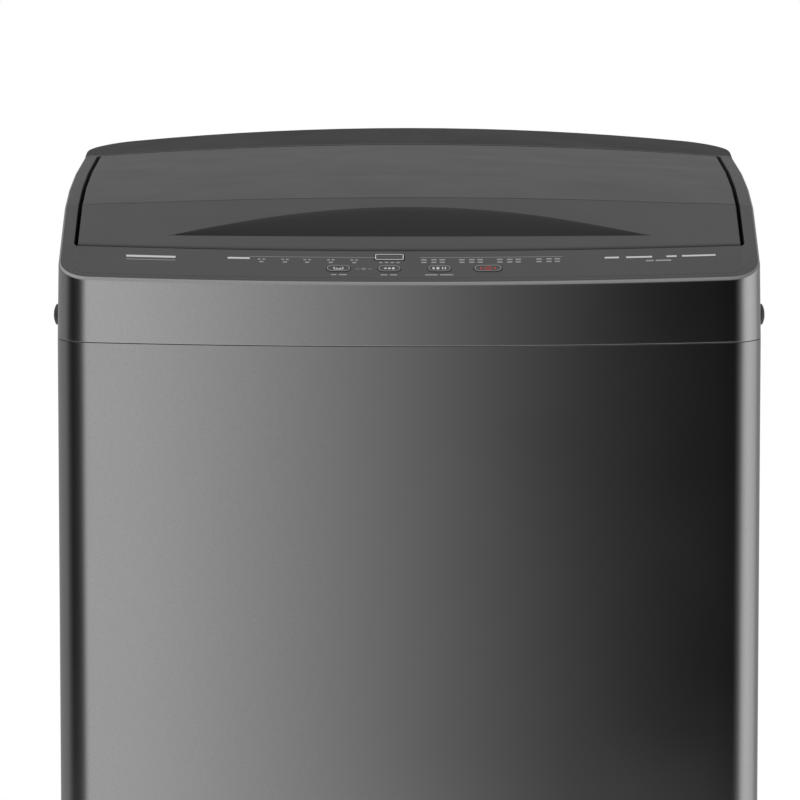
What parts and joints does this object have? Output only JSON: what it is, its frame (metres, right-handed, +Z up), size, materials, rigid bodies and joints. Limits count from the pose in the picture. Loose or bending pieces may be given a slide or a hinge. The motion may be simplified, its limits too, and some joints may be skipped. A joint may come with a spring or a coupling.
{
  "type": "top load washing machine",
  "caption": "Upright washing machine with a bowed front, a sloping key panel, a crowned hinged lid with a finger recess, and a perforated basket hung in a tub.",
  "frame": {"origin": "on the floor, under the middle of the cabinet", "axes": "+Z up, front faces -Y, +X to the right of a person who faces the front"},
  "size_m": [0.548, 0.56, 0.9445],
  "materials": {
    "cabinet_steel": "metallic paint",
    "cover_paint": "metallic paint on plastic",
    "lid_plastic": "satin",
    "dark_plastic": "matte",
    "grey_plastic": "satin",
    "tub_plastic": "satin",
    "stainless_steel": "brushed",
    "zinc_steel": "zinc plated",
    "cast_aluminium": "cast",
    "black_rubber": "matte",
    "smoked_window": "polished",
    "circuit_board": "coated"
  },
  "bodies": {
    "cabinet_body": {"cabinet": "cabinet_steel", "back_panel": "zinc_steel", "base_frame": "dark_plastic", "rear_left_foot": "black_rubber", "rear_right_foot": "black_rubber", "top_cover": "cover_paint", "rear_console": "lid_plastic", "control_fascia": "dark_plastic", "display_window": "smoked_window", "control_board": "circuit_board", "left_screw_cap": "cover_paint", "right_screw_cap": "cover_paint", "left_hinge_post": "dark_plastic", "right_hinge_post": "dark_plastic", "dispenser_box": "tub_plastic", "water_inlet_valve": "tub_plastic", "inlet_pipe": "black_rubber", "drain_outlet": "dark_plastic", "power_cord_gland": "black_rubber", "lid_switch": "dark_plastic", "left_hanger_rail": "zinc_steel", "right_hanger_rail": "zinc_steel", "front_left_rod": "zinc_steel", "rear_left_rod": "zinc_steel", "front_right_rod": "zinc_steel", "rear_right_rod": "zinc_steel", "front_left_spring": "stainless_steel", "rear_left_spring": "stainless_steel", "front_right_spring": "stainless_steel", "rear_right_spring": "stainless_steel"},
    "lid": {"lid_shell": "lid_plastic", "lid_handle_cup": "lid_plastic", "lid_liner": "grey_plastic", "left_hinge_pin": "zinc_steel", "right_hinge_pin": "zinc_steel"},
    "drawer": {"detergent_drawer": "grey_plastic"},
    "front_left_foot_screw": {"front_left_foot": "black_rubber"},
    "front_right_foot_screw": {"front_right_foot": "black_rubber"},
    "tub": {"outer_tub": "tub_plastic", "tub_ring": "tub_plastic", "mounting_plate": "zinc_steel", "gearbox_housing": "cast_aluminium", "motor": "zinc_steel", "drain_valve": "tub_plastic", "drain_hose": "black_rubber", "drive_belt": "black_rubber"},
    "basket": {"basket_wall": "stainless_steel", "basket_base": "grey_plastic", "balance_ring": "grey_plastic", "lint_filter": "tub_plastic", "spin_tube": "stainless_steel"},
    "agitator": {"pulsator": "grey_plastic", "pulsator_cap": "stainless_steel", "wash_shaft": "stainless_steel"},
    "drive_pulley": {"clutch_pulley": "cast_aluminium"},
    "motor_rotor": {"motor_pulley": "stainless_steel"},
    "program_button_body": {"program_button": "dark_plastic"},
    "water_level_button_body": {"water_level_button": "dark_plastic"},
    "start_button_body": {"start_button": "dark_plastic"},
    "power_button_body": {"power_button": "dark_plastic"}
  },
  "joints": [
    {"name": "lid_hinge", "type": "hinge", "parent": "cabinet_body", "child": "lid", "pos_m": [0, 0.168, 0.925], "axis": [-1, 0, 0], "range_deg": [0, 95]},
    {"name": "drawer_slide", "type": "slide", "parent": "cabinet_body", "child": "drawer", "axis": [0, -1, 0], "range_m": [0, 0.06]},
    {"name": "tub_suspension", "type": "slide", "parent": "cabinet_body", "child": "tub", "axis": [0, 0, 1], "range_m": [-0.01, 0.006], "stiffness_N_per_m": 12000, "springref_m": 0.02247, "deforming": ["front_left_spring", "rear_left_spring", "front_right_spring", "rear_right_spring", "drain_hose"]},
    {"name": "basket_spin", "type": "hinge", "parent": "tub", "child": "basket", "pos_m": [0, -0.01, 0], "axis": [0, 0, 1], "continuous": true},
    {"name": "pulsator_spin", "type": "hinge", "parent": "tub", "child": "agitator", "pos_m": [0, -0.01, 0], "axis": [0, 0, 1], "continuous": true},
    {"name": "clutch_pulley_spin", "type": "hinge", "parent": "tub", "child": "drive_pulley", "pos_m": [0, -0.01, 0], "axis": [0, 0, 1], "continuous": true},
    {"name": "motor_spin", "type": "hinge", "parent": "tub", "child": "motor_rotor", "pos_m": [0.118, 0.078, 0], "axis": [0, 0, 1], "continuous": true},
    {"name": "front_left_foot_adjust", "type": "slide", "parent": "cabinet_body", "child": "front_left_foot_screw", "axis": [0, 0, -1], "range_m": [0, 0.012]},
    {"name": "front_right_foot_adjust", "type": "slide", "parent": "cabinet_body", "child": "front_right_foot_screw", "axis": [0, 0, -1], "range_m": [0, 0.012]},
    {"name": "program_button_press", "type": "slide", "parent": "cabinet_body", "child": "program_button_body", "axis": [0.0136, 0.3698, -0.929], "range_m": [0, 0.001], "stiffness_N_per_m": 500, "springref_m": -0.001},
    {"name": "water_level_button_press", "type": "slide", "parent": "cabinet_body", "child": "water_level_button_body", "axis": [0.0038, 0.3698, -0.9291], "range_m": [0, 0.001], "stiffness_N_per_m": 500, "springref_m": -0.001},
    {"name": "start_button_press", "type": "slide", "parent": "cabinet_body", "child": "start_button_body", "axis": [-0.0058, 0.3698, -0.9291], "range_m": [0, 0.001], "stiffness_N_per_m": 500, "springref_m": -0.001},
    {"name": "power_button_press", "type": "slide", "parent": "cabinet_body", "child": "power_button_body", "axis": [-0.0151, 0.3698, -0.929], "range_m": [0, 0.001], "stiffness_N_per_m": 500, "springref_m": -0.001}
  ],
  "couplings": [
    {"joint": "pulsator_spin", "follows": "clutch_pulley_spin", "ratio": 0.25},
    {"joint": "motor_spin", "follows": "clutch_pulley_spin", "ratio": 3.5556}
  ]
}
